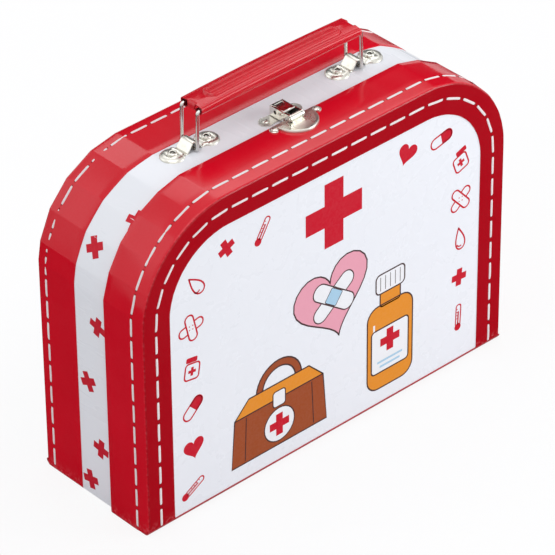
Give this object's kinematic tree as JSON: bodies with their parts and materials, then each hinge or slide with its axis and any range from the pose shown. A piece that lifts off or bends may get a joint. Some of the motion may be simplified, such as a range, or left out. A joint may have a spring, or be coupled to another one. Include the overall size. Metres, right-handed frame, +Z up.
{
  "type": "toy doctor case",
  "caption": "Small stitched board suitcase for toy doctor's things, with rounded upper corners, hinged lid, metal handle and hasp latch.",
  "frame": {"origin": "on the floor under the middle of the closed case's bounding box", "axes": "+X along the case's width, +Y towards its back, +Z up; the lid faces -Y"},
  "size_m": [0.251, 0.0834, 0.2074],
  "materials": {
    "board": "solid greyboard, raw edges",
    "red_binding": "glossy laminated red",
    "hinge_cloth": "red bookcloth",
    "white_paper": "glossy laminated print",
    "lining_paper": "matte lining paper",
    "thread": "waxed white thread",
    "nickel": "bright nickel plate",
    "red_enamel": "glossy red lacquer"
  },
  "bodies": {
    "base": {"base_wall_board": "board", "base_back_board": "board", "base_binding": "red_binding", "base_hinge_sheet": "hinge_cloth", "base_wall_cover": "white_paper", "base_back_sheet": "white_paper", "base_lining": "lining_paper", "base_face_stitching": "thread", "base_wall_stitching": "thread", "bracket_left": "nickel", "bracket_right": "nickel", "bracket_rivets": "nickel", "latch_keeper": "nickel", "keeper_rivets": "nickel"},
    "lid": {"lid_wall_board": "board", "lid_front_board": "board", "lid_binding": "red_binding", "lid_hinge_sheet": "hinge_cloth", "lid_front_sheet": "white_paper", "lid_lining": "lining_paper", "lid_face_stitching": "thread", "lid_wall_stitching": "thread", "latch_plate": "nickel", "latch_pin": "nickel", "latch_rivets": "nickel"},
    "handle": {"handle_grip": "red_enamel", "handle_wire": "nickel"},
    "hasp": {"latch_hasp": "nickel"}
  },
  "joints": [
    {"name": "lid_hinge", "type": "hinge", "parent": "base", "child": "lid", "pos_m": [0, -0.01275, 0], "axis": [1, 0, 0], "range_deg": [0, 175]},
    {"name": "handle_lift", "type": "slide", "parent": "base", "child": "handle", "axis": [0, 0, 1], "range_m": [0, 0.002]},
    {"name": "hasp_hinge", "type": "hinge", "parent": "lid", "child": "hasp", "pos_m": [0.0003, -0.01625, 0.1847], "axis": [1, 0, 0], "range_deg": [0, 110]}
  ]
}
